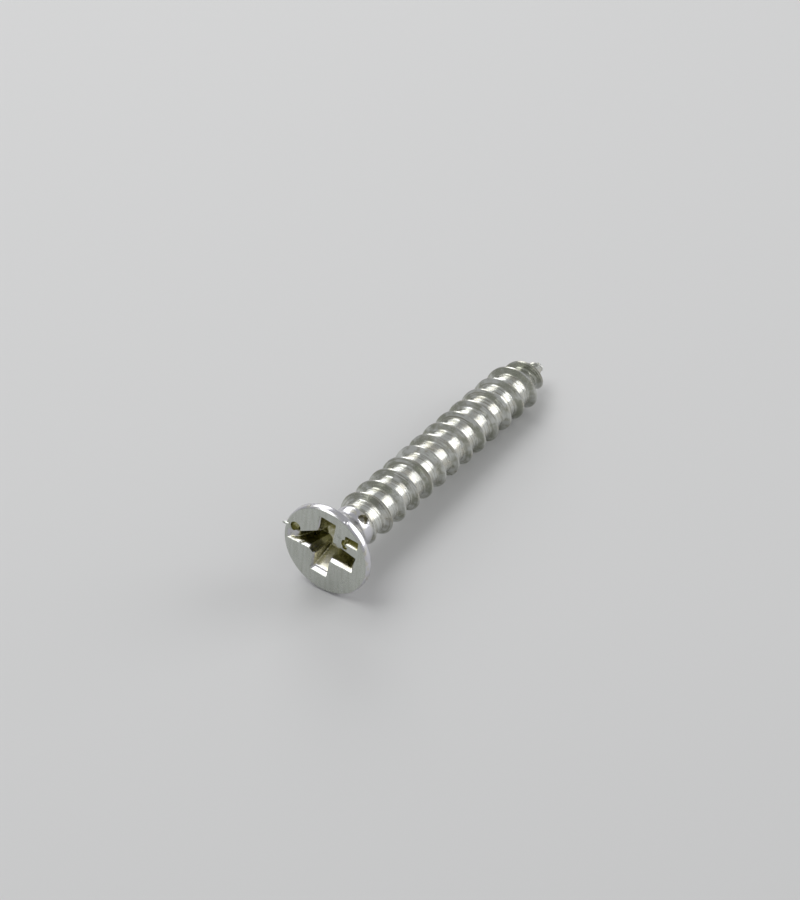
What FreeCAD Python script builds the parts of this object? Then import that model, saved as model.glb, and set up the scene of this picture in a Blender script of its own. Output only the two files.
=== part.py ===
import FreeCAD, Part
import os

import Sketcher
from FreeCAD import Placement, Rotation, Vector

# Self-tapping screw, 3.5 x 25 mm, countersunk cross-recess head, spaced thread and gimlet point.
# The body is drawn upright on its own axis: the head face at height 0, the point at the full
# length, X towards the top of the head as it lies and Y to the right of it, seen from the head.
# Its Placement then lays it down along +X, on the rim of the head and the last full thread crest.

NODE = "self_tapping_screw"

DIMENSIONS = {
    # Head, neck and core
    "overall_length": 25.0,
    "head_radius": 3.20,
    "rim_height": 0.58,
    "head_half_angle": 45.0,
    "neck_radius": 1.48,
    "neck_end": 3.30,
    "neck_step": 0.40,
    "neck_fillet": 0.90,
    "core_radius": 1.34,
    "point_length": 3.10,
    "tip_radius": 0.24,
    "tip_blunting": 0.12,
    # Thread
    "thread_radius": 1.75,
    "thread_pitch": 1.54,
    "crest_width": 0.10,
    "flank_half_angle": 31.0,
    "ridge_foot": 0.13,
    "ridge_sink": 0.02,
    "thread_start": 3.30,
    "thread_start_angle": 33.0,
    "run_in_turns": 0.62,
    "full_thread_stop": 2.79,
    "point_turns": 1.25,
    "point_half_angle": 22.5,
    "run_out_turns": 0.30,
    "run_out_half_angle": 42.0,
    # How far past the full thread a crest may be, in turns, for the screw to rest on it
    "rest_margin": 0.17,
    # Cross recess
    "recess_turn": 7.5,
    "recess_up": 0.13,
    "recess_left": 0.15,
    "wing_reach": 2.30,
    "wing_reach_below": 1.40,
    "wing_half_width": 0.60,
    "wing_half_width_below": 0.45,
    "wing_depth": 1.85,
    "recess_core_radius": 1.15,
    "recess_core_radius_below": 0.74,
    "recess_depth": 2.30,
    # Wear on the head: the corner above the left wing, the end of that wing, dents and a burr
    "worn_corner_turn": 27.0,
    "worn_corner_reach": 1.34,
    "worn_corner_reach_below": 0.70,
    "worn_corner_high": 0.25,
    "worn_corner_low": 1.60,
    "worn_corner_low_below": 0.95,
    "worn_corner_depth": 1.10,
    "worn_wing_reach": 2.66,
    "worn_wing_low": 0.58,
    "worn_wing_high": 0.12,
    "worn_wing_depth": 0.32,
    "pit_ball": 0.55,
    "pit_up": 0.98,
    "pit_left": 2.20,
    "pit_depth": 0.24,
    "gouge_ball": 0.90,
    "gouge_up": 1.50,
    "gouge_right": 1.78,
    "gouge_depth": 0.20,
    "burr_turn": 16.0,
    "burr_half_width": 0.22,
    "burr_out": 0.22,
    "burr_height": 0.36,
}

doc = FreeCAD.newDocument("screw")
sheet = doc.addObject("Spreadsheet::Sheet", "sizes")
for row, (name, size) in enumerate(DIMENSIONS.items(), start=1):
    sheet.set(f"A{row}", name)
    sheet.set(f"B{row}", str(size))
    sheet.setAlias(f"B{row}", name)
doc.recompute()

body = doc.addObject("PartDesign::Body", NODE)
body.Label = NODE
origin = {item.Role: item for item in body.Origin.OriginFeatures}


def number(text):
    """The value that an expression has now."""
    found = sheet.evalExpression(text)
    return float(getattr(found, "Value", found))


def new_sketch(name, plane):
    """An empty sketch on one of the body's own planes."""
    sketch = body.newObject("Sketcher::SketchObject", name)
    sketch.AttachmentSupport = [(origin[plane], "")]
    sketch.MapMode = "FlatFace"
    return sketch


def draw(sketch, corners):
    """A closed outline, each corner held by two bound distances.

    A corner with a third value starts a hollow arc of that radius instead of a straight line.
    The arc is kept anticlockwise, so its first corner is its second end.
    """
    places = [Vector(number(corner[0]), number(corner[1]), 0) for corner in corners]
    hollow_sides = {index for index, corner in enumerate(corners) if len(corner) == 3}
    first_end = {index: 2 if index in hollow_sides else 1 for index in range(len(corners))}
    for index, corner in enumerate(corners):
        start, end = places[index], places[(index + 1) % len(places)]
        if index in hollow_sides:
            radius = number(corner[2])
            chord = end - start
            rise = radius - (radius ** 2 - chord.Length ** 2 / 4) ** 0.5
            middle = (start + end) / 2 + Vector(-chord.y, chord.x, 0).normalize() * rise
            sketch.addGeometry(Part.Arc(start, middle, end), False)
        else:
            sketch.addGeometry(Part.LineSegment(start, end), False)
    for index, corner in enumerate(corners):
        after = (index + 1) % len(corners)
        sketch.addConstraint(Sketcher.Constraint(
            "Coincident", index, 3 - first_end[index], after, first_end[after]))
        for kind, place, text in zip(("DistanceX", "DistanceY"), places[index], corner):
            held = sketch.addConstraint(
                Sketcher.Constraint(kind, -1, 1, index, first_end[index], place))
            if place != 0:
                sketch.setExpression(f"Constraints[{held}]", text)
        if index in hollow_sides:
            held = sketch.addConstraint(Sketcher.Constraint("Radius", index, number(corner[2])))
            sketch.setExpression(f"Constraints[{held}]", corner[2])


# Turned blank: rim, cone, hollow fillet, neck, core and blunt point in one revolution

CONE_FOOT = ("sizes.rim_height + (sizes.head_radius - sizes.neck_radius)"
             " / tan(sizes.head_half_angle * 1 deg)")
FILLET_LEG = "sizes.neck_fillet * tan(sizes.head_half_angle / 2 * 1 deg)"

blank_outline = new_sketch("blank_outline", "XZ_Plane")
draw(blank_outline, [
    ("0", "0"),
    ("sizes.head_radius", "0"),
    ("sizes.head_radius", "sizes.rim_height"),
    (f"sizes.neck_radius + {FILLET_LEG} * sin(sizes.head_half_angle * 1 deg)",
     f"{CONE_FOOT} - {FILLET_LEG} * cos(sizes.head_half_angle * 1 deg)", "sizes.neck_fillet"),
    ("sizes.neck_radius", f"{CONE_FOOT} + {FILLET_LEG}"),
    ("sizes.neck_radius", "sizes.neck_end"),
    ("sizes.core_radius", "sizes.neck_end + sizes.neck_step"),
    ("sizes.core_radius", "sizes.overall_length - sizes.point_length"),
    ("sizes.tip_radius", "sizes.overall_length - sizes.tip_blunting"),
    ("sizes.tip_radius - sizes.tip_blunting", "sizes.overall_length"),
    ("0", "sizes.overall_length"),
])
blank = body.newObject("PartDesign::Revolution", "blank")
blank.Profile = blank_outline
blank.ReferenceAxis = (blank_outline, ["V_Axis"])
blank.Angle = 360
doc.recompute()

# Cross recess: two tapered beams across each other and a turned hollow that ends in a cone


def checked(feature):
    """The feature as the body's tip, once a change of volume shows that it took hold."""
    before = body.Shape.Volume
    doc.recompute()
    body.Tip = feature
    doc.recompute()
    if abs(body.Shape.Volume - before) < 1e-3:
        raise RuntimeError(f"{feature.Name} changed nothing")
    return feature


def stand_on_face(item, up, left, turn):
    """Hold a sketch or solid upright on the head face, at a place and a turn on it."""
    item.AttachmentSupport = [(origin["XZ_Plane"], "")]
    item.MapMode = "FlatFace"
    item.AttachmentOffset = Placement(Vector(), Rotation(Vector(0, 1, 0), 1))
    item.setExpression("AttachmentOffset.Base.x", up)
    item.setExpression("AttachmentOffset.Base.z", left)
    item.setExpression("AttachmentOffset.Rotation.Angle", turn)
    doc.recompute()


for name, turn in (("wings_up", "sizes.recess_turn"), ("wings_across", "sizes.recess_turn + 90")):
    beam = body.newObject("PartDesign::SubtractiveWedge", name)
    stand_on_face(beam, "sizes.recess_up", "sizes.recess_left", turn)
    for side, sign in (("min", "-"), ("max", "")):
        beam.setExpression(f"X{side}", f"{sign}sizes.wing_reach")
        beam.setExpression(f"X2{side}", f"{sign}sizes.wing_reach_below")
        beam.setExpression(f"Z{side}", f"{sign}sizes.wing_half_width")
        beam.setExpression(f"Z2{side}", f"{sign}sizes.wing_half_width_below")
    beam.Ymin = 0
    beam.setExpression("Ymax", "sizes.wing_depth")
    checked(beam)

hollow_outline = body.newObject("Sketcher::SketchObject", "hollow_outline")
stand_on_face(hollow_outline, "sizes.recess_up", "sizes.recess_left", "sizes.recess_turn")
draw(hollow_outline, [
    ("0", "0"),
    ("sizes.recess_core_radius", "0"),
    ("sizes.recess_core_radius_below", "sizes.wing_depth"),
    ("0", "sizes.recess_depth"),
])
hollow = body.newObject("PartDesign::Groove", "recess_hollow")
hollow.Profile = hollow_outline
hollow.ReferenceAxis = (hollow_outline, ["V_Axis"])
hollow.Angle = 360
checked(hollow)

# Wear: a driver has rounded off the left wing and the corner above it; dents and a burr

worn_corner = body.newObject("PartDesign::SubtractiveWedge", "worn_corner")
stand_on_face(worn_corner, "sizes.recess_up", "sizes.recess_left", "-sizes.worn_corner_turn")
worn_corner.Xmin = 0
worn_corner.X2min = 0
worn_corner.setExpression("Xmax", "sizes.worn_corner_reach")
worn_corner.setExpression("X2max", "sizes.worn_corner_reach_below")
worn_corner.setExpression("Zmin", "-sizes.worn_corner_high")
worn_corner.setExpression("Zmax", "sizes.worn_corner_low")
worn_corner.Z2min = 0
worn_corner.setExpression("Z2max", "sizes.worn_corner_low_below")
worn_corner.Ymin = 0
worn_corner.setExpression("Ymax", "sizes.worn_corner_depth")
checked(worn_corner)

worn_wing = body.newObject("PartDesign::SubtractiveWedge", "worn_wing")
stand_on_face(worn_wing, "sizes.recess_up", "sizes.recess_left", "sizes.recess_turn")
for side in ("", "2"):
    worn_wing.setExpression(f"X{side}min", "-sizes.worn_wing_low")
    worn_wing.setExpression(f"X{side}max", "sizes.worn_wing_high")
    worn_wing.setExpression(f"Z{side}min", "sizes.wing_reach_below")
worn_wing.setExpression("Zmax", "sizes.worn_wing_reach")
worn_wing.setExpression("Z2max", "sizes.wing_reach")
worn_wing.Ymin = 0
worn_wing.setExpression("Ymax", "sizes.worn_wing_depth")
checked(worn_wing)


def dent(name, radius, up, left, depth):
    """A ball-shaped dent in the head face."""
    ball = body.newObject("PartDesign::SubtractiveSphere", name)
    stand_on_face(ball, up, left, "sizes.recess_turn")
    ball.setExpression("AttachmentOffset.Base.y", f"{depth} - {radius}")
    ball.setExpression("Radius", radius)
    checked(ball)


dent("pit", "sizes.pit_ball", "sizes.pit_up", "sizes.pit_left", "sizes.pit_depth")
dent("gouge", "sizes.gouge_ball", "sizes.gouge_up", "-sizes.gouge_right", "sizes.gouge_depth")

burr = body.newObject("PartDesign::AdditiveWedge", "burr")
stand_on_face(burr, "0", "0", "sizes.burr_turn")
for level, half, outer in (("", "sizes.burr_half_width", "sizes.head_radius + sizes.burr_out"),
                           ("2", "sizes.burr_half_width / 2", "sizes.head_radius")):
    burr.setExpression(f"X{level}min", f"-{half}")
    burr.setExpression(f"X{level}max", half)
    burr.setExpression(f"Z{level}min", "sizes.head_radius - sizes.burr_out")
    burr.setExpression(f"Z{level}max", outer)
burr.Ymin = 0
burr.setExpression("Ymax", "sizes.burr_height")
checked(burr)

# Thread: one ridge that rises from the neck, runs full, narrows with the point and runs out


def ridge_stretch(name, turns_made, crest, angle, turns, back=False, foot="sizes.ridge_foot"):
    """A stretch of the ridge, swept on from its section, or back towards the head."""
    ridge = f"sizes.thread_radius - sizes.core_radius + {foot}"
    height = f"sizes.thread_start + ({turns_made}) * sizes.thread_pitch"
    tip_half = "sizes.crest_width / 2"
    foot_half = f"{tip_half} + ({ridge}) * tan(sizes.flank_half_angle * 1 deg)"
    section = new_sketch(f"{name}_section", "XZ_Plane")
    section.AttachmentOffset = Placement(Vector(), Rotation(Vector(0, 1, 0), 1))
    section.setExpression("AttachmentOffset.Rotation.Angle",
                          f"sizes.thread_start_angle + 360 * mod({turns_made}; 1)")
    doc.recompute()
    draw(section, [
        (f"{crest} - ({ridge})", f"{height} - ({foot_half})"),
        (crest, f"{height} - {tip_half}"),
        (crest, f"{height} + {tip_half}"),
        (f"{crest} - ({ridge})", f"{height} + ({foot_half})"),
    ])
    helix = body.newObject("PartDesign::AdditiveHelix", name)
    helix.Profile = section
    helix.ReferenceAxis = (section, ["V_Axis"])
    helix.Mode = "pitch-turns-angle"
    helix.HasBeenEdited = True
    helix.Reversed = back
    helix.setExpression("Pitch", "sizes.thread_pitch")
    helix.setExpression("Turns", turns)
    helix.setExpression("Angle", angle)
    doc.recompute()


RISE = "(sizes.thread_radius - sizes.core_radius + sizes.ridge_sink)"
RUN_IN = "sizes.run_in_turns"
FULL_TURNS = ("(sizes.overall_length - sizes.full_thread_stop - sizes.thread_start)"
              " / sizes.thread_pitch - sizes.run_in_turns")
FULL = f"{RUN_IN} + ({FULL_TURNS})"
POINT = f"{FULL} + sizes.point_turns"
RUN_OUT = f"{POINT} + sizes.run_out_turns"
POINT_CREST = ("sizes.thread_radius - sizes.point_turns * sizes.thread_pitch"
               " * tan(sizes.point_half_angle * 1 deg)")
RUN_OUT_CREST = (f"{POINT_CREST} - sizes.run_out_turns * sizes.thread_pitch"
                 " * tan(sizes.run_out_half_angle * 1 deg)")

ridge_stretch("thread_run_in", "0", f"sizes.thread_radius - {RISE}",
              f"atan({RISE} / (sizes.run_in_turns * sizes.thread_pitch))", RUN_IN)
ridge_stretch("thread_full", RUN_IN, "sizes.thread_radius", "0 deg", FULL_TURNS)
ridge_stretch("thread_point", POINT, POINT_CREST, "sizes.point_half_angle * 1 deg",
              "sizes.point_turns", back=True)
ridge_stretch("thread_run_out", RUN_OUT, RUN_OUT_CREST, "sizes.run_out_half_angle * 1 deg",
              "sizes.run_out_turns", back=True, foot="-sizes.ridge_sink")

# Rest: the rear edge of the rim and the last crest that passes underneath touch the ground

TO_UNDERSIDE = "(180 - sizes.thread_start_angle) / 360"
REST_TURNS = f"floor({FULL} + sizes.rest_margin - {TO_UNDERSIDE}) + {TO_UNDERSIDE}"
REST_CREST = (f"sizes.thread_radius - ({REST_TURNS} - ({FULL})) * sizes.thread_pitch"
              " * tan(sizes.point_half_angle * 1 deg)")
REST_REACH = f"sizes.thread_start + ({REST_TURNS}) * sizes.thread_pitch + sizes.crest_width / 2"
TILT = f"atan((sizes.head_radius - ({REST_CREST})) / ({REST_REACH} - sizes.rim_height))"

body.Placement = Placement(Vector(), Rotation(Vector(1, 0, 1), 180))
body.setExpression("Placement.Rotation.Axis.x", f"cos(45 deg - {TILT} / 2)")
body.setExpression("Placement.Rotation.Axis.z", f"sin(45 deg - {TILT} / 2)")
body.setExpression("Placement.Base.x", f"sizes.head_radius * sin({TILT}) / 2"
                                       f" - sizes.overall_length * cos({TILT}) / 2")
body.setExpression("Placement.Base.z", f"sizes.head_radius * cos({TILT})"
                                       f" + sizes.rim_height * sin({TILT})")
doc.recompute()

for item in doc.Objects:
    if "Invalid" in item.State or "Error" in item.State:
        raise RuntimeError(f"{item.Name}: {item.State}")
if body.Shape.isNull() or not body.Shape.isValid() or len(body.Shape.Solids) != 1:
    raise RuntimeError(f"{NODE} isn't one valid solid")

os.makedirs("parts", exist_ok=True)
body.Shape.exportStep(f"parts/{NODE}.step")
print(NODE, "volume", round(body.Shape.Volume, 2), "mm3, tilt", round(number(TILT), 3), "degrees")
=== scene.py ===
# %% [markdown]
# A self-tapping screw, lying on a pale floor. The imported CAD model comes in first, as a fixed
# frame. It says where everything is, in metres, and nothing here may move or resize it.

# %% Load the frame
import math

import bmesh
import bpy
from mathutils import Matrix, Vector, noise
from mathutils.bvhtree import BVHTree


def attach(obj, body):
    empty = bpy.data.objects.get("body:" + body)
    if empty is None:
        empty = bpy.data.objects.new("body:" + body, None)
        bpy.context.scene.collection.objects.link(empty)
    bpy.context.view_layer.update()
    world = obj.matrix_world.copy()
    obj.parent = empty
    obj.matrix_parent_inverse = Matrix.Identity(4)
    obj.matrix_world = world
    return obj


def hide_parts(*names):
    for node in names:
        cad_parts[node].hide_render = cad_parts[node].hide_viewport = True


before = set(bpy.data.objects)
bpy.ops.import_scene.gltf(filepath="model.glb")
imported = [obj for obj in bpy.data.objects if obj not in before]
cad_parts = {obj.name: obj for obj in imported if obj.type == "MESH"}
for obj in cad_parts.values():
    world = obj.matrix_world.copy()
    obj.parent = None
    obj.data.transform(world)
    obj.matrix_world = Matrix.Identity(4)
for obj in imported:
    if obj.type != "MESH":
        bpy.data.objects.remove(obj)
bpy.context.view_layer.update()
print("CAD node:", sorted(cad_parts))

# %% [markdown]
# The screw is one piece of steel, so its looks are one closed mesh too. It is modelled upright and
# in millimetres, one Blender unit each, because Blender's tools have smallest steps that suit
# things as big as a room. Only the finished mesh is made small and laid down. The sizes are the
# CAD model's own. Heights are counted from the head's flat face to the tip.

# %% Sizes, in millimetres
LENGTH = 25.0
HEAD_RADIUS, RIM_HEIGHT = 3.20, 0.58
NECK_RADIUS, NECK_END, NECK_STEP, NECK_FILLET = 1.48, 3.30, 0.40, 0.90
CORE_RADIUS, THREAD_RADIUS, PITCH = 1.34, 1.75, 1.54
THREAD_START, START_ANGLE = 3.30, math.radians(33)
POINT_LENGTH, POINT_THREAD_LENGTH, TIP_RADIUS, TIP_BLUNTING = 3.10, 2.79, 0.24, 0.12
RUN_IN_TURNS, POINT_TURNS = 0.62, 1.25
FULL_TURNS = (LENGTH - POINT_THREAD_LENGTH - THREAD_START) / PITCH - RUN_IN_TURNS
TILT = math.radians(4.006)
print(f"the thread runs full for {FULL_TURNS:.1f} turns")


# %% [markdown]
# Every operator of Blender acts on what is selected, and a model that was just loaded is selected
# whole. These few helpers keep that in hand: start with nothing selected, select by place, and
# apply a modifier as soon as it is set. The last one says what a mesh has come to, and whether it
# is closed, which is the first thing to look at when a Boolean goes wrong.

# %% Helpers for selecting and for modifiers
def deselect_all():
    if bpy.context.object and bpy.context.object.mode != "OBJECT":
        bpy.ops.object.mode_set(mode="OBJECT")
    bpy.ops.object.select_all(action="DESELECT")


def activate(piece):
    deselect_all()
    piece.select_set(True)
    bpy.context.view_layer.objects.active = piece


def select_vertices(piece, rule):
    """Select, in edit mode, the vertices whose place meets the rule."""
    edit = bmesh.from_edit_mesh(piece.data)
    for item in (*edit.faces, *edit.edges, *edit.verts):
        item.select = False
    bpy.ops.mesh.select_mode(type="VERT")
    for vertex in edit.verts:
        vertex.select = rule(vertex.co)
    edit.select_flush_mode()
    bmesh.update_edit_mesh(piece.data)


def select_open_edges(piece, lowest):
    """Select, in edit mode, the edges with a face on one side only, from a height up."""
    bpy.ops.mesh.select_mode(type="EDGE")
    bpy.ops.mesh.select_all(action="DESELECT")
    edit = bmesh.from_edit_mesh(piece.data)
    for edge in edit.edges:
        edge.select = edge.is_boundary and edge.verts[0].co.z > lowest
    edit.select_flush_mode()
    bmesh.update_edit_mesh(piece.data)


def apply_modifier(piece, kind, **settings):
    activate(piece)
    modifier = piece.modifiers.new(kind.lower(), kind)
    for name, value in settings.items():
        setattr(modifier, name, value)
    bpy.ops.object.modifier_apply(modifier=modifier.name)


def report(piece):
    """Print a mesh's size. A closed mesh has no open edges, and a volume above 0."""
    edit = bmesh.new()
    edit.from_mesh(piece.data)
    open_edges = sum(1 for edge in edit.edges if not edge.is_manifold)
    triangles = sum(len(face.verts) - 2 for face in edit.faces)
    print(f"{piece.name}: {len(edit.verts)} vertices, {triangles} triangles,"
          f" {open_edges} open edges, volume {edit.calc_volume(signed=True):.2f}")
    edit.free()


# %% [markdown]
# The thread is rolled: steel is squeezed out of the wire into one long ridge. In Blender, the
# Screw operator does the same job. A line with the profile of one turn is swept round the axis,
# and moves along it by exactly its own length per turn, so that each turn ends where the next one
# begins. The line starts as a plane's edge, cut into short pieces that are closer together near
# the crest. It stands past the point, because it is swept back towards the head.

# %% One turn's profile
HALF_PROFILE = (0.0, 0.022, 0.045, 0.07, 0.095, 0.125, 0.16, 0.20, 0.24, 0.28, 0.32, 0.36, 0.42,
                0.50, 0.62, PITCH / 2)
OFFSETS = [-step for step in reversed(HALF_PROFILE[1:])] + list(HALF_PROFILE)
TURNS_AHEAD = 15

bpy.ops.mesh.primitive_plane_add(size=1.0)
shank = bpy.context.object
shank.name = "zinc_plated_screw"
bpy.ops.object.mode_set(mode="EDIT")
select_vertices(shank, lambda place: place.y > 0)
bpy.ops.mesh.delete(type="VERT")
bpy.ops.mesh.select_all(action="SELECT")
bpy.ops.mesh.subdivide(number_cuts=len(OFFSETS) - 2)
line = bmesh.from_edit_mesh(shank.data)
for vertex, offset in zip(sorted(line.verts, key=lambda v: v.co.x), OFFSETS):
    vertex.co = (CORE_RADIUS * math.cos(START_ANGLE), CORE_RADIUS * math.sin(START_ANGLE),
                 THREAD_START + TURNS_AHEAD * PITCH + offset)
bmesh.update_edit_mesh(shank.data)
print(f"profile: {len(line.verts)} points in a line of {OFFSETS[-1] - OFFSETS[0]:.2f} mm")

# %% [markdown]
# A few more turns are swept than the screw has, because both ends are cut off later. The turns
# come out as separate strips that only touch, so Merge by Distance sews them together.

# %% Sweep it into a helix
STEPS_PER_TURN, SWEPT_TURNS, SEAM = 80, 16, 0.002

bpy.ops.mesh.select_all(action="SELECT")
bpy.ops.mesh.screw(steps=STEPS_PER_TURN, turns=SWEPT_TURNS, center=(0, 0, 0), axis=(0, 0, -1))
bpy.ops.mesh.select_all(action="SELECT")
bpy.ops.mesh.remove_doubles(threshold=SEAM)
bpy.ops.object.mode_set(mode="OBJECT")
report(shank)

# %% [markdown]
# So far it is a plain tube whose rows of vertices follow the thread. To move them out to where the
# real surface is, two things must be known at every place: how thick the core is, and how high the
# ridge stands. The core is a cylinder with a cone at the end. The ridge rises out of the neck over
# the first half turn, runs full, narrows with the point and runs out beside the tip.

# %% The core and the ridge
POINT_SLOPE, RUN_OUT_SLOPE = math.tan(math.radians(22.5)), math.tan(math.radians(42))


def core_radius(z):
    cone_start = LENGTH - POINT_LENGTH
    cone_end = LENGTH - TIP_BLUNTING
    if z < cone_start:
        return CORE_RADIUS
    share = min(1, (z - cone_start) / (cone_end - cone_start))
    return CORE_RADIUS + (TIP_RADIUS - CORE_RADIUS) * share


def crest_radius(turn):
    """The ridge's height from the axis, or 0 where there is no ridge."""
    full_end = RUN_IN_TURNS + FULL_TURNS
    point_end = full_end + POINT_TURNS
    if turn < 0:
        return 0
    if turn < RUN_IN_TURNS:
        rise = math.sin(turn / RUN_IN_TURNS * math.pi / 2)
        return CORE_RADIUS + (THREAD_RADIUS - CORE_RADIUS) * rise
    narrowing = max(0, min(turn, point_end) - full_end) * PITCH * POINT_SLOPE
    running_out = max(0, turn - point_end) * PITCH * RUN_OUT_SLOPE
    return THREAD_RADIUS - narrowing - running_out


def nearest_turn(angle, z):
    """How many turns lie between the thread's start and the crest nearest to a place."""
    part_turn = (angle - START_ANGLE) / (2 * math.pi) % 1
    return round((z - THREAD_START) / PITCH - part_turn) + part_turn


print(f"crest at {crest_radius(FULL_TURNS):.2f} mm, core at {core_radius(NECK_END):.2f} mm")

# %% [markdown]
# Across the ridge its profile is a blunt triangle. Rolling leaves the two flanks meeting in a fine
# crease on the crest. The foot of each flank is rounded, because a rolling die has no sharp
# corners: the higher of core and flank counts, and where they are nearly equal, a little is added.

# %% Move the surface out
CREST_HALF_WIDTH, FLANK_SLOPE, ROOT_SOFTNESS = 0.065, math.tan(math.radians(31)), 0.07
CREASE_DEPTH, CREASE_HALF_WIDTH = 0.030, 0.045


def soft_max(a, b, softness):
    overlap = max(softness - abs(a - b), 0) / softness
    return max(a, b) + overlap * overlap * softness / 4


def surface_radius(angle, z):
    turn = nearest_turn(angle, z)
    offset = abs(z - THREAD_START - turn * PITCH)
    crest = crest_radius(turn)
    core = core_radius(z)
    if crest <= 0:
        return core
    crease = CREASE_DEPTH * max(0, 1 - offset / CREASE_HALF_WIDTH)
    flank = max(0, offset - CREST_HALF_WIDTH) / FLANK_SLOPE
    return soft_max(core, crest - crease - flank, ROOT_SOFTNESS)


for vertex in shank.data.vertices:
    angle = math.atan2(vertex.co.y, vertex.co.x)
    radius = surface_radius(angle, vertex.co.z)
    vertex.co.x, vertex.co.y = radius * math.cos(angle), radius * math.sin(angle)
report(shank)

# %% [markdown]
# Both ends of the swept tube are a slanting step. Bisect cuts them off square: one cut lies inside
# the neck, where the head will hide it, and the other just before the tip. Bisect leaves a few
# vertices almost on top of each other, and they are merged.

# %% Cut both ends off square
JOIN_Z, TIP_CUT_Z = 2.75, LENGTH - 0.30
ON_THE_CUT, CUT_MERGE = 0.0005, 0.0008

activate(shank)
bpy.ops.object.mode_set(mode="EDIT")
for height, side in ((JOIN_Z, "clear_inner"), (TIP_CUT_Z, "clear_outer")):
    bpy.ops.mesh.select_all(action="SELECT")
    bpy.ops.mesh.bisect(plane_co=(0, 0, height), plane_no=(0, 0, 1), threshold=ON_THE_CUT,
                        **{side: True})
bpy.ops.mesh.select_all(action="SELECT")
bpy.ops.mesh.remove_doubles(threshold=CUT_MERGE)
print(f"cut at {JOIN_Z:.2f} and {TIP_CUT_Z:.2f} mm")

# %% [markdown]
# The cut near the head is simply filled, because the neck hides it. The one at the tip is drawn
# out: its ring of edges is extruded a little at a time and made smaller, as a blunt point with the
# small bead of zinc that is left there when the plating drips off. Each ring is a pair of a step
# ahead and a width, as a share of the ring before.

# %% Close the ends
TIP_RINGS = ((0.04, 0.80), (0.03, 0.86), (0.04, 1.16), (0.05, 1.12), (0.05, 0.98), (0.04, 0.86),
             (0.03, 0.72), (0.02, 0.50))

select_open_edges(shank, lowest=TIP_CUT_Z / 2)
for step, width in TIP_RINGS:
    bpy.ops.mesh.extrude_edges_move(TRANSFORM_OT_translate={"value": (0, 0, step)})
    bpy.ops.transform.resize(value=(width, width, 1), center_override=(0, 0, 0))
bpy.ops.mesh.edge_face_add()
select_open_edges(shank, lowest=0)
bpy.ops.mesh.edge_face_add()
bpy.ops.mesh.select_all(action="SELECT")
bpy.ops.mesh.normals_make_consistent(inside=False)
bpy.ops.object.mode_set(mode="OBJECT")
report(shank)

# %% [markdown]
# The tip of a real screw is rarely dead straight. This one leans a little to one side over its last
# few millimetres. The lean grows with the square of the distance, so that nothing kinks.

# %% Lean the point
LEAN_START_Z, LEAN = 21.0, Vector((-0.085, 0.125, 0))


def lean_at(z):
    part = max(0, (z - LEAN_START_Z) / (LENGTH - LEAN_START_Z))
    return LEAN * part * part


for vertex in shank.data.vertices:
    vertex.co += lean_at(vertex.co.z)
print(f"the tip leans by {LEAN.length:.2f} mm")

# %% [markdown]
# The head is cold-forged from the same wire, and round. It starts as a circle, the flat face, and
# is drawn out ring by ring, each ring a pair of its height and radius: over the tight edge, along
# the rim, down the cone, through the hollow fillet into the neck, and over the shoulder where the
# thread begins. The last rings end inside the threaded part. The face itself is then inset many
# times, because a single big face would have no places between to carry dents and dirt.

# %% Turn the head
HEAD_SIDES, CONE_STEPS, FILLET_STEPS = 180, 12, 6
FACE_EDGE = ((0, 0.135), (0.006, 0.110), (0.024, 0.088), (0.060, 0.062), (0.100, 0.036),
             (0.140, 0.014), (0.180, 0.003))
RIM_EDGE = 0.05
CONE_FOOT = RIM_HEIGHT + HEAD_RADIUS - NECK_RADIUS
FILLET_REACH = NECK_FILLET * math.tan(math.pi / 8)
FACE_RINGS, FACE_RING_WIDTH = 24, 0.10

head_rings = [(height, HEAD_RADIUS - inset) for height, inset in FACE_EDGE]
head_rings += [(height, HEAD_RADIUS) for height in (0.23, 0.32, 0.42, RIM_HEIGHT - RIM_EDGE)]
head_rings.append((RIM_HEIGHT - 0.01, HEAD_RADIUS - 0.02))
cone_start = RIM_HEIGHT + RIM_EDGE
cone_length = CONE_FOOT - FILLET_REACH / math.sqrt(2) - cone_start
for step in range(CONE_STEPS):
    down = cone_length * step / CONE_STEPS
    head_rings.append((cone_start + down, HEAD_RADIUS - RIM_EDGE - down))
for step in range(FILLET_STEPS + 1):
    slope = math.radians(45 - 45 / FILLET_STEPS * step)
    head_rings.append((CONE_FOOT + NECK_FILLET * (math.tan(math.pi / 8) - math.sin(slope)),
                       NECK_RADIUS + NECK_FILLET * (1 - math.cos(slope))))
head_rings += [(height, NECK_RADIUS) for height in (2.80, 2.92, 3.05, NECK_END - 0.12)]
head_rings += [(NECK_END, NECK_RADIUS - 0.02), (NECK_END + NECK_STEP / 2, 1.40),
               (NECK_END + NECK_STEP, CORE_RADIUS - 0.04), (NECK_END + NECK_STEP + 0.15, 1.0)]

deselect_all()
bpy.ops.mesh.primitive_circle_add(vertices=HEAD_SIDES, radius=head_rings[0][1], fill_type="NGON")
head = bpy.context.object
head.name = "head"
bpy.ops.object.mode_set(mode="EDIT")
bpy.ops.mesh.select_all(action="SELECT")
for (height, radius), (next_height, next_radius) in zip(head_rings, head_rings[1:]):
    bpy.ops.mesh.extrude_region_move(
        TRANSFORM_OT_translate={"value": (0, 0, next_height - height)})
    width = next_radius / radius
    bpy.ops.transform.resize(value=(width, width, 1), center_override=(0, 0, 0))
select_vertices(head, lambda place: place.z < 0.001)
bpy.ops.mesh.select_mode(type="FACE")
for ring in range(FACE_RINGS):
    bpy.ops.mesh.inset(thickness=FACE_RING_WIDTH)
bpy.ops.mesh.select_all(action="SELECT")
bpy.ops.mesh.normals_make_consistent(inside=False)
bpy.ops.object.mode_set(mode="OBJECT")
report(head)

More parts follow.
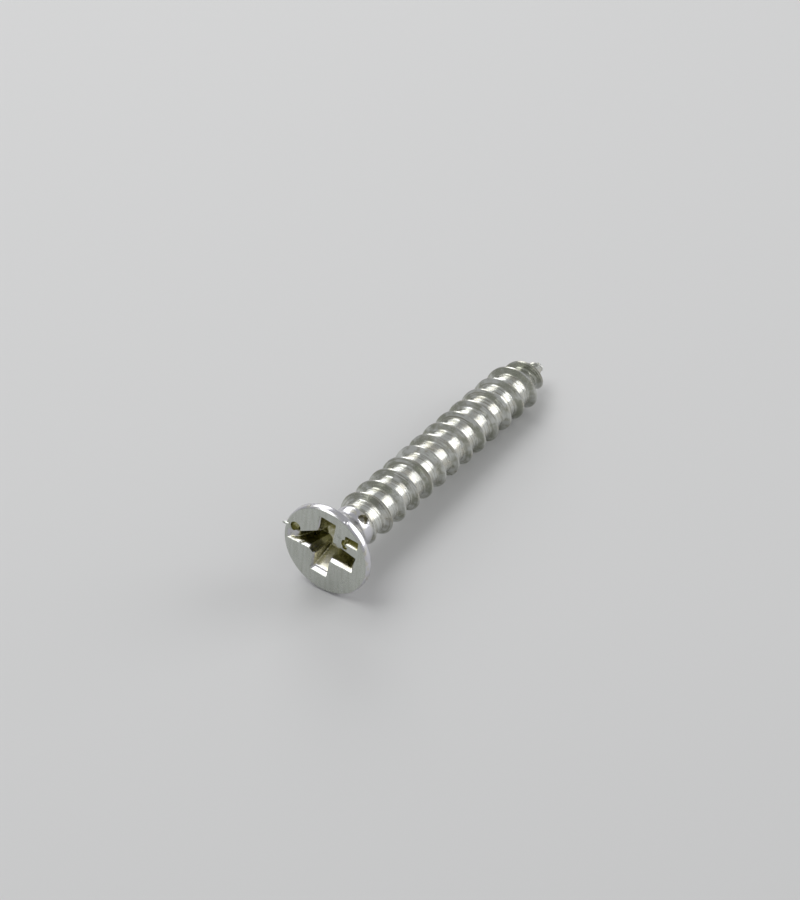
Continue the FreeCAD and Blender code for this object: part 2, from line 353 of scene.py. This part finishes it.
# %% [markdown]
# A punch makes the cross recess. Its shape is two tapered bars across each other, and a cone
# between them. So it is built here as the punch itself: a cube for each bar, with the far end made
# smaller, and a cone. Wear belongs to the punch too: shallow bars for the rounded mouth, the corner
# that a slipping driver has reamed out, and the run-out of the left wing.

# %% The punch, and what wore the recess
RECESS_UP, RECESS_RIGHT, RECESS_TURN = 0.13, -0.15, math.radians(7.5)
LEFT_TURN, RIGHT_TURN = math.radians(2.4), math.radians(5)
WING_DEPTH, RECESS_DEPTH, LIP_DEPTH, PROUD = 1.85, 2.30, 0.27, 0.30
CONE_UP, CONE_RIGHT = RECESS_UP + 0.16, RECESS_RIGHT - 0.20


def place_on_face(cutter, turn, up=RECESS_UP, right=RECESS_RIGHT):
    """Turn a cutter about the screw's axis and move it over the face, in its mesh."""
    cutter.data.transform(Matrix.Translation((up, right, 0)) @ Matrix.Rotation(turn, 4, "Z"))


def tapered_bar(name, face_sides, deep_sides, depth, turn, up=RECESS_UP, right=RECESS_RIGHT):
    """A cube made into a bar. Its sides are the lowest, highest, leftmost and rightmost."""
    deselect_all()
    bpy.ops.mesh.primitive_cube_add(size=1)
    bar = bpy.context.object
    bar.name = name
    above_face = [face + (face - deep) * PROUD / depth
                  for face, deep in zip(face_sides, deep_sides)]
    for vertex in bar.data.vertices:
        sides = deep_sides if vertex.co.z > 0 else above_face
        vertex.co = (sides[int(vertex.co.x > 0)], sides[2 + int(vertex.co.y > 0)],
                     depth if vertex.co.z > 0 else -PROUD)
    place_on_face(bar, turn, up, right)
    return bar


punch_parts = [
    tapered_bar("wings_up", (-1.98, 2.36, -0.56, 0.58), (-1.04, 1.42, -0.42, 0.44), WING_DEPTH,
                RECESS_TURN),
    tapered_bar("wing_left", (-0.30, 0.56, -2.26, 0.40), (-0.30, 0.44, -1.40, 0.40), WING_DEPTH,
                LEFT_TURN),
    tapered_bar("wing_right", (-0.56, 0.60, -0.40, 2.26), (-0.46, 0.44, -0.40, 1.40), WING_DEPTH,
                RIGHT_TURN),
    tapered_bar("lip_up", (-2.08, 2.42, -0.66, 0.62), (-1.88, 2.30, -0.46, 0.55), LIP_DEPTH,
                RECESS_TURN),
    tapered_bar("lip_left", (-0.43, 0.30, -2.78, -0.30), (-0.29, 0.24, -2.50, -0.30), LIP_DEPTH,
                LEFT_TURN),
    tapered_bar("lip_right", (-0.70, 0.40, 0.30, 2.36), (-0.56, 0.40, 0.30, 2.20), LIP_DEPTH,
                RIGHT_TURN),
    tapered_bar("worn_corner", (0.50, 1.34, -1.85, 0.25), (0.30, 0.72, -0.55, 0), 1.25,
                math.radians(-27)),
    tapered_bar("worn_side", (0.90, 2.28, -0.76, 0), (0.90, 1.60, -0.42, 0), 1.40,
                math.radians(14.4)),
    tapered_bar("worn_right", (0, 1.06, 0.50, 2.30), (0, 0.60, 0.20, 1.60), 1.30,
                math.radians(16)),
    tapered_bar("worn_wing", (-0.31, 0.22, -2.70, -1.00), (-0.30, 0.12, -1.45, -1.00), 0.85,
                LEFT_TURN),
]
for name, radius, deep_radius, top, depth in (("core", 1.02, 0.70, -PROUD, WING_DEPTH),
                                              ("bottom", 0.70, 0.02, WING_DEPTH, RECESS_DEPTH)):
    deselect_all()
    bpy.ops.mesh.primitive_cone_add(vertices=48, radius1=radius, radius2=deep_radius,
                                    depth=depth - top)
    cone = bpy.context.object
    cone.name = name
    cone.data.transform(Matrix.Translation((0, 0, (top + depth) / 2)))
    place_on_face(cone, RECESS_TURN, CONE_UP, CONE_RIGHT)
    punch_parts.append(cone)
print(f"the punch has {len(punch_parts)} parts")

# %% [markdown]
# The parts of the punch overlap with knife-sharp edges. A voxel Remesh turns them into one even
# skin of small squares, and Smooth then rounds all its edges alike, as wear and zinc do. Only after
# that does one Boolean take the punch out of the head.

# %% Punch the recess
VOXEL = 0.042


def unite(piece, other):
    apply_modifier(piece, "BOOLEAN", object=other, operation="UNION", solver="EXACT")
    bpy.data.objects.remove(other)


def take_away(piece, other):
    apply_modifier(piece, "BOOLEAN", object=other, operation="DIFFERENCE", solver="EXACT")
    bpy.data.objects.remove(other)


def melt_together(parts, rounding):
    """Make one soft-edged body of several that overlap."""
    body = parts[0]
    activate(body)
    for part in parts[1:]:
        part.select_set(True)
    bpy.ops.object.join()
    apply_modifier(body, "REMESH", mode="VOXEL", voxel_size=VOXEL, use_smooth_shade=True)
    apply_modifier(body, "SMOOTH", factor=0.5, iterations=rounding)
    report(body)
    return body


take_away(head, melt_together(punch_parts, rounding=4))
report(head)

# %% [markdown]
# The driver has also slipped. It left a short wedge-shaped gouge beside the recess, with two nicks
# and pushed-up metal next to it, a pit at the left, a notch in the rim and a burr that stands out
# over it. Raised metal is a stretched ball that is united with the head. The marks are melted
# together and taken away, as the punch was, and less rounding leaves them sharper.

# %% Dents and raised metal
def pebble(name, up, right, height, radii, turn=0):
    """A ball stretched to three radii: up, to the right and along the screw's axis."""
    deselect_all()
    bpy.ops.mesh.primitive_ico_sphere_add(subdivisions=5, radius=1)
    ball = bpy.context.object
    ball.name = name
    ball.data.transform(Matrix.Diagonal((*radii, 1)))
    ball.data.transform(Matrix.Translation((0, 0, height)))
    place_on_face(ball, turn, up, right)
    return ball


unite(head, pebble("burr", 0.90, -3.00, 0.03, (0.09, 0.30, 0.15), math.radians(-8)))
unite(head, pebble("pushed_up_metal", 1.30, 0.98, 0.05, (0.55, 0.26, 0.17), math.radians(-10)))
slip_marks = [tapered_bar("gouge", (-0.28, 0.36, -0.50, 0.50), (-0.04, 0.16, -0.40, 0.40), 0.46,
                          math.radians(6), up=1.52, right=1.98),
              pebble("nick", 1.00, 1.50, 0.0, (0.13, 0.17, 0.24)),
              pebble("scar", 1.34, 1.38, -0.02, (0.26, 0.14, 0.30), math.radians(8)),
              pebble("pit", 0.90, -2.28, 0.0, (0.38, 0.38, 0.50)),
              pebble("rim_notch", 2.96, 1.44, 0.18, (0.20, 0.22, 0.22), math.radians(26))]
take_away(head, melt_together(slip_marks, rounding=2))
report(head)

# %% [markdown]
# Head and thread are one piece of steel, so one Boolean unites them, inside the neck where no
# seam shows. Two dents in the neck, side by side, are cut across that join, so they come last.

# %% Join the head and the threaded part
unite(shank, head)
neck_dents = [pebble("neck_dent", 1.34, 0.86, 2.88, (0.28, 0.28, 0.22)),
              pebble("neck_dent_behind", 1.14, 1.14, 3.10, (0.30, 0.30, 0.22))]
take_away(shank, melt_together(neck_dents, rounding=1))
screw = shank
report(screw)

# %% [markdown]
# A screw out of a bulk box is never quite even. Its skin is moved inwards by a slow noise, so that
# crests and face don't mirror light like lathe work. The head, which is forged in a smooth die,
# gets less of it. All normals are read before the first vertex moves, because Blender works them
# all out anew after each move.

# %% Make the skin uneven
NOISES, HEAD_SHARE, HEAD_END = ((0.70, 0.026), (0.26, 0.012)), 0.35, NECK_END - 1

outwards = [vertex.normal.copy() for vertex in screw.data.vertices]
deepest = 0
for vertex, outward in zip(screw.data.vertices, outwards):
    share = HEAD_SHARE if vertex.co.z < HEAD_END else 1
    depth = share * sum(deep * (1 + noise.noise(vertex.co / size)) / 2 for size, deep in NOISES)
    vertex.co -= outward * depth
    deepest = max(deepest, depth)
print(f"the skin is moved in by {deepest:.3f} mm at most")

# %% [markdown]
# Dirt, wear and painted shade follow the surface, so the material has to know how closed in every
# place is. Short rays go out from it, spread evenly over the half of the sky that it sees, and the
# share of them that hits the screw again says so. It is kept in the mesh as an attribute. The dents
# in the neck are shallow, so their shade is painted on: they count as closed in.

# %% Measure how closed in each place is
RAYS, RAY_REACH, RAY_LIFT = 24, 1.6, 0.01
# The neck dents are painted dark as shade, by counting them as closed in.
NECK_DENT, NECK_DENT_WIDTH, DENT_CLOSED_IN = Vector((1.13, 0.90, 2.98)), 0.36, 0.95


def keep_attribute(name, values, kind="FLOAT", field="value"):
    screw.data.attributes.new(name, kind, "POINT").data.foreach_set(field, values)


tree = BVHTree.FromObject(screw, bpy.context.evaluated_depsgraph_get())
ray_turns = [(math.sqrt((step + 0.5) / RAYS), step * math.pi * (3 - math.sqrt(5)))
             for step in range(RAYS)]
closed_in = []
for vertex in screw.data.vertices:
    side = vertex.normal.orthogonal().normalized()
    other_side = vertex.normal.cross(side)
    start = vertex.co + vertex.normal * RAY_LIFT
    hits = 0
    for spread, turn in ray_turns:
        ray = (side * math.cos(turn) + other_side * math.sin(turn)) * spread \
            + vertex.normal * math.sqrt(1 - spread * spread)
        hits += tree.ray_cast(start, ray, RAY_REACH)[0] is not None
    in_dent = (vertex.co - NECK_DENT).length < NECK_DENT_WIDTH
    closed_in.append(max(hits / RAYS, DENT_CLOSED_IN if in_dent else 0))
keep_attribute("closed_in", closed_in)
print(f"closed in: {sum(closed_in) / len(closed_in):.2f} on average")

# %% [markdown]
# The other thing to know is where a place lies on the thread. Rolling leaves fine lines that run
# along with the thread. The flank that faces the head gets painted shade, and the other flank less.
# The coordinates for the lines turn once round a circle from each crest to the next one, so the
# noise has no seam.

# %% Say where each place lies on the thread
LINES_ROUND, LINES_ALONG = 4.2, 1.1
LOWEST_RIDGE, TAIL_FLANK_SHARE = 0.05, 0.6
FLANK_TOP, FLANK_TOP_FADE, FLANK_FOOT, FLANK_FOOT_FADE = 0.045, 0.04, 0.05, 0.08
THREAD_FADE = 0.4


def share_of(distance, whole):
    return min(1, max(0, distance / whole))


def flank_shade_share(angle, z):
    """Painted shade: 1 on the flank that faces the head, less on the other,
    0 on crest, root and neck.
    """
    turn = nearest_turn(angle, z)
    offset = z - THREAD_START - turn * PITCH
    height = crest_radius(turn) - core_radius(z)
    if height < LOWEST_RIDGE:
        return 0
    foot = CREST_HALF_WIDTH + height * FLANK_SLOPE
    share = share_of(abs(offset) - FLANK_TOP, FLANK_TOP_FADE) \
        * share_of(foot + FLANK_FOOT - abs(offset), FLANK_FOOT_FADE)
    return share if offset < 0 else TAIL_FLANK_SHARE * share


rolled, on_thread, flank_shade = [], [], []
for vertex in screw.data.vertices:
    place = vertex.co - lean_at(vertex.co.z)
    angle = math.atan2(place.y, place.x)
    across = 2 * math.pi * ((place.z - THREAD_START) / PITCH) - (angle - START_ANGLE)
    rolled += (LINES_ROUND * math.cos(across), LINES_ROUND * math.sin(across),
               LINES_ALONG * place.z)
    on_thread.append(share_of(place.z - NECK_END + THREAD_FADE / 2, THREAD_FADE))
    flank_shade.append(flank_shade_share(angle, place.z))
keep_attribute("rolled", rolled, kind="FLOAT_VECTOR", field="vector")
keep_attribute("on_thread", on_thread)
keep_attribute("flank_shade", flank_shade)
print(f"on a flank: {sum(flank_shade) / len(flank_shade):.2f} on average")

# %% [markdown]
# The finished mesh is now made a thousand times smaller, into metres, and laid down where the CAD
# model lies: on the rear edge of its rim and on its last full crest, so its axis dips towards the
# point. All of this goes into the mesh, and the object itself stays at the origin. Edges sharper
# than 40 degrees stay sharp, and the rest is shaded smooth.

# %% Lay it down
along = Vector((math.cos(TILT), 0, -math.sin(TILT)))
up_on_face = Vector((math.sin(TILT), 0, math.cos(TILT)))
face_centre = Vector((HEAD_RADIUS * math.sin(TILT) / 2 - LENGTH * math.cos(TILT) / 2, 0,
                      HEAD_RADIUS * math.cos(TILT) + RIM_HEIGHT * math.sin(TILT)))
laid_down = Matrix((up_on_face, (0, -1, 0), along)).transposed().to_4x4()
screw.data.transform(Matrix.Scale(0.001, 4) @ Matrix.Translation(face_centre) @ laid_down)
activate(screw)
bpy.ops.object.shade_smooth_by_angle(angle=math.radians(40))
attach(screw, "root")
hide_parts("self_tapping_screw")
print(f"lowest point {min(vertex.co.z for vertex in screw.data.vertices) * 1000:.3f} mm")

# %% [markdown]
# Bright zinc is a mirror that has gone a little dull. Its colour is a cool grey that changes slowly
# to lilac and to a warm grey, its gloss changes from place to place, and fine lines break up the
# reflections. Every hollow is painted a dull dark olive-grey, partly dirt and partly painted shade,
# and the flank that faces the head and the deep recess get painted shade too. All of it is made
# from noise, on coordinates that a Mapping node turns along the screw: X up the face, Y across it
# and Z along it. Writing a node tree in code is long-winded, so five helpers do the repeating part.

# %% Zinc plating: helpers and coordinates
zinc = bpy.data.materials.new("zinc_plating")
zinc.use_nodes = True
nodes, links = zinc.node_tree.nodes, zinc.node_tree.links
shader = nodes["Principled BSDF"]


def feed(socket, value):
    """Give a socket a value, or another node's output."""
    if isinstance(value, bpy.types.NodeSocket):
        links.new(value, socket)
    else:
        socket.default_value = value


def add(kind, inputs=None, **settings):
    node = nodes.new("ShaderNode" + kind)
    for name, value in settings.items():
        setattr(node, name, value)
    for name, value in (inputs or {}).items():
        feed(node.inputs[name], value)
    return node


def noise_of(place, size, detail=2.0, stretch=None):
    """Noise whose spots are about as wide as size, in millimetres; stretch makes them longer."""
    if stretch:
        place = add("VectorMath", {0: place, 1: stretch}, operation="DIVIDE").outputs[0]
    return add("TexNoise", {"Vector": place, "Scale": 1000 / size, "Detail": detail}).outputs[0]


def between(value, low, high):
    """0 below low, 1 above high and a smooth step between."""
    return add("MapRange", {"Value": value, "From Min": low, "From Max": high},
               interpolation_type="SMOOTHSTEP").outputs[0]


def combine(operation, first, second):
    return add("Math", {0: first, 1: second}, operation=operation).outputs[0]


def blend_colours(share, first, second):
    node = add("Mix", data_type="RGBA")
    for socket, value in ((0, share), (6, first), (7, second)):
        feed(node.inputs[socket], value)
    return node.outputs[2]


turn_to_screw = add("Mapping", {"Vector": add("TexCoord").outputs["Object"],
                                "Location": face_centre / 1000,
                                "Rotation": laid_down.to_euler()}, vector_type="TEXTURE")
place = turn_to_screw.outputs[0]
apart = add("SeparateXYZ", {0: place}).outputs
height_on_face, depth_below_face = apart["X"], apart["Z"]
closed = add("Attribute", attribute_name="closed_in").outputs["Fac"]
thread_share = add("Attribute", attribute_name="on_thread").outputs["Fac"]
flank_shade_here = add("Attribute", attribute_name="flank_shade").outputs["Fac"]
rolled_place = add("Attribute", attribute_name="rolled").outputs["Vector"]
print(f"{len(nodes)} nodes for the coordinates")

# %% [markdown]
# First come masks, which are numbers that say how much of something a place has. The flat face and
# the recess are known by their depth below the face, in metres, and dirt with painted shade by how
# closed in a place is, and a little over all of the thread, with spots of noise so that it is
# patchy. The face has drawn-out streaks, from the die, and the thread has rolling lines and painted
# shade on the flanks that face the head.

# %% Zinc plating: where dirt, painted shade, lines and spots are
FACE_FROM, FACE_FULL = 0.00007, 0.00003
RECESS_FROM, RECESS_FULL = 0.0025, 0.0023
UPPER_FROM, UPPER_FULL = -0.0008, 0.0008
THREAD_SOILING_AND_SHADE, SPOT_PATCHINESS = 0.25, 0.5

slow_spots = noise_of(place, 2.6)
spots = noise_of(place, 0.55, detail=3)
grain = noise_of(place, 0.10, detail=2)
rolling_lines = add("TexNoise", {"Vector": rolled_place, "Scale": 1, "Detail": 3}).outputs[0]
face_streaks = noise_of(place, 0.20, detail=3, stretch=(9, 1, 4))
face_share = between(depth_below_face, FACE_FROM, FACE_FULL)
recess_share = combine("MULTIPLY", between(closed, 0.18, 0.45),
                       between(depth_below_face, RECESS_FROM, RECESS_FULL))
upper_share = between(height_on_face, UPPER_FROM, UPPER_FULL)
patchy = combine("MULTIPLY", combine("SUBTRACT", spots, 0.5), SPOT_PATCHINESS)
# Dirt and painted shade: darker where closed in, and a little over all of the thread.
soiling_and_shade = combine("ADD", closed, combine("MULTIPLY", thread_share, THREAD_SOILING_AND_SHADE))
dirt_and_shade = between(combine("ADD", soiling_and_shade, patchy), 0.62, 1.05)
# Painted shade on the flank that faces the head, in patches.
flank = combine("MULTIPLY", flank_shade_here, between(combine("ADD", spots, slow_spots), 0.80, 1.16))
lines = combine("MULTIPLY", combine("SUBTRACT", rolling_lines, 0.5), thread_share)
streaks = combine("MULTIPLY", combine("SUBTRACT", face_streaks, 0.5), face_share)
print(f"{len(nodes)} nodes with the masks")

# %% [markdown]
# Then the colours are laid over each other, each by its mask: the two greys of the plating, warm
# spots, dark lines, painted shade on the flanks, the plainer face, the khaki tint of the recess and
# dirt with painted shade. The recess is painted darker olive as shade where it is deep and in its
# upper half, where less light gets in.

# %% Zinc plating: colour
LILAC_GREY, PLAIN_GREY = (0.65, 0.645, 0.68, 1), (0.66, 0.67, 0.64, 1)
WARM_GREY, DIRT_AND_SHADE = (0.64, 0.625, 0.56, 1), (0.13, 0.12, 0.07, 1)
FLANK_SHADE_GREY, LINE_GREY = (0.36, 0.37, 0.31, 1), (0.38, 0.37, 0.31, 1)
FACE_GREY, STREAK_GREY = (0.58, 0.60, 0.56, 1), (0.50, 0.52, 0.47, 1)
RECESS_GREY, RECESS_SHADE_OLIVE = (0.71, 0.69, 0.55, 1), (0.36, 0.35, 0.17, 1)
UPPER_SHADE = 0.50

colour = blend_colours(thread_share, LILAC_GREY, PLAIN_GREY)
colour = blend_colours(between(spots, 0.46, 0.66), colour, WARM_GREY)
colour = blend_colours(between(lines, 0.02, 0.16), colour, LINE_GREY)
# The flanks get their painted shade.
colour = blend_colours(flank, colour, FLANK_SHADE_GREY)
face_colour = blend_colours(between(streaks, -0.15, 0.25), FACE_GREY, STREAK_GREY)
colour = blend_colours(face_share, colour, face_colour)
# Painted shade: the recess turns dark olive where it is closed in and in its upper half.
recess_shade_from = combine("ADD", combine("MULTIPLY", upper_share, UPPER_SHADE), closed)
recess_shade_share = combine("MULTIPLY", between(recess_shade_from, 0.46, 0.82), between(spots, 0.1, 0.5))
recess_colour = blend_colours(recess_shade_share, RECESS_GREY, RECESS_SHADE_OLIVE)
colour = blend_colours(recess_share, colour, recess_colour)
# Dirt and painted shade, a dark olive-grey.
colour = blend_colours(dirt_and_shade, colour, DIRT_AND_SHADE)
feed(shader.inputs["Base Color"], colour)
feed(shader.inputs["Metallic"], 1)
print(f"{len(nodes)} nodes with the colours")

# %% [markdown]
# Gloss makes metal look real more than colour does. The roughness changes with the spots, and the
# face and the dirt with its painted shade are duller. Relief that is too fine for the mesh, the
# lines, streaks and grain, goes into a Bump node, whose distance is the real one: about a hundredth
# of a millimetre.

# %% Zinc plating: gloss and fine relief
GLOSSIEST, DULLEST, FACE_DULLNESS, DIRT_AND_SHADE_DULLNESS = 0.14, 0.30, 0.06, 0.28
LINE_RELIEF, STREAK_RELIEF, SPOT_RELIEF, GRAIN_RELIEF = 1.6, 0.35, 0.5, 0.12

roughness = add("MapRange", {"Value": spots, "From Min": 0.3, "From Max": 0.7,
                             "To Min": GLOSSIEST, "To Max": DULLEST}).outputs[0]
roughness = combine("ADD", roughness, combine("MULTIPLY", face_share, FACE_DULLNESS))
roughness = combine("ADD", roughness, combine("MULTIPLY", dirt_and_shade, DIRT_AND_SHADE_DULLNESS))
feed(shader.inputs["Roughness"], roughness)

spot_relief = combine("MULTIPLY", spots, combine("ADD", SPOT_RELIEF, thread_share))
relief = combine("ADD", combine("MULTIPLY", lines, LINE_RELIEF),
                 combine("MULTIPLY", streaks, STREAK_RELIEF))
relief = combine("ADD", relief, spot_relief)
relief = combine("ADD", relief, combine("MULTIPLY", grain, GRAIN_RELIEF))
bump = add("Bump", {"Height": relief, "Strength": 1.0, "Distance": 0.000012})
feed(shader.inputs["Normal"], bump.outputs[0])
screw.data.materials.clear()
screw.data.materials.append(zinc)
print(f"{len(nodes)} nodes in all")

# %% [markdown]
# The photo was taken from above the head and to its right, from far away. The camera has the same
# direction, distance and lens. It is placed by the face's centre, whose place in view is known: so
# many millimetres to the right, down and ahead.

# %% Camera
LENS_PIXELS, FRAME_HEIGHT, SENSOR = 4748.54, 900, 36.0
HEADING, ELEVATION = math.radians(55.756), math.radians(40.469)
FACE_IN_VIEW = Vector((-4.7647, 6.4087, 300.0))

level_ahead = Vector((math.sin(HEADING), math.cos(HEADING), 0))
camera_right = Vector((math.cos(HEADING), -math.sin(HEADING), 0))
camera_ahead = level_ahead * math.cos(ELEVATION) - Vector((0, 0, math.sin(ELEVATION)))
camera_down = camera_ahead.cross(camera_right)
camera_place = face_centre - (FACE_IN_VIEW.x * camera_right + FACE_IN_VIEW.y * camera_down
                              + FACE_IN_VIEW.z * camera_ahead)
camera = bpy.data.objects.new("camera", bpy.data.cameras.new("camera"))
bpy.context.scene.collection.objects.link(camera)
camera.matrix_world = (Matrix.Translation(camera_place / 1000)
                       @ Matrix((camera_right, -camera_down, -camera_ahead)).transposed().to_4x4())
camera.data.sensor_fit = "VERTICAL"
camera.data.sensor_height = SENSOR
camera.data.lens = LENS_PIXELS / FRAME_HEIGHT * SENSOR
camera.data.clip_start = 0.01
bpy.context.scene.camera = camera
print(f"camera with a lens of {camera.data.lens:.0f} mm, {camera_place.length:.0f} mm away")

# %% [markdown]
# Bright metal has hardly any shade of its own. It shows what it mirrors, so each lamp is a large
# soft rectangle at the place that some part of the screw mirrors to the camera: the top one in the
# lips of the recess and along the crests, the one at the right in the rim and the neck, and the
# one behind at the left in the upper side of the thread. The rest mirrors a plain pale room.

# %% Floor, lamps and background
FLOOR_GREY, FLOOR_WIDTH = (0.62, 0.62, 0.62, 1), 6
ROOM_WHITE, ROOM_STRENGTH = (0.98, 0.99, 1.0, 1), 0.45

deselect_all()
bpy.ops.mesh.primitive_plane_add(size=FLOOR_WIDTH)
floor = bpy.context.object
floor.name = "floor"
pale = bpy.data.materials.new("pale_floor")
pale.use_nodes = True
pale.node_tree.nodes["Principled BSDF"].inputs["Base Color"].default_value = FLOOR_GREY
pale.node_tree.nodes["Principled BSDF"].inputs["Roughness"].default_value = 0.6
floor.data.materials.append(pale)


def softbox(name, place, size, watts):
    """A rectangular lamp at a place, in metres, that faces the screw."""
    lamp = bpy.data.lights.new(name, "AREA")
    lamp.shape = "RECTANGLE"
    lamp.size, lamp.size_y = size
    lamp.energy = watts
    holder = bpy.data.objects.new(name, lamp)
    bpy.context.scene.collection.objects.link(holder)
    holder.location = place
    holder.rotation_euler = Vector(place).to_track_quat("Z", "Y").to_euler()
    print(f"{name}: {watts} W, {Vector(place).length * 1000:.0f} mm away")


softbox("top", (-0.027, 0.113, 0.243), (0.26, 0.14), 0.30)
softbox("right_front", (0.17, -0.15, 0.10), (0.15, 0.18), 0.20)
softbox("back_left", (0.19, 0.18, 0.12), (0.16, 0.12), 0.14)
world = bpy.data.worlds.new("studio")
bpy.context.scene.world = world
world.use_nodes = True
world.node_tree.nodes["Background"].inputs["Color"].default_value = ROOM_WHITE
world.node_tree.nodes["Background"].inputs["Strength"].default_value = ROOM_STRENGTH
bpy.context.scene.view_settings.view_transform = "Standard"
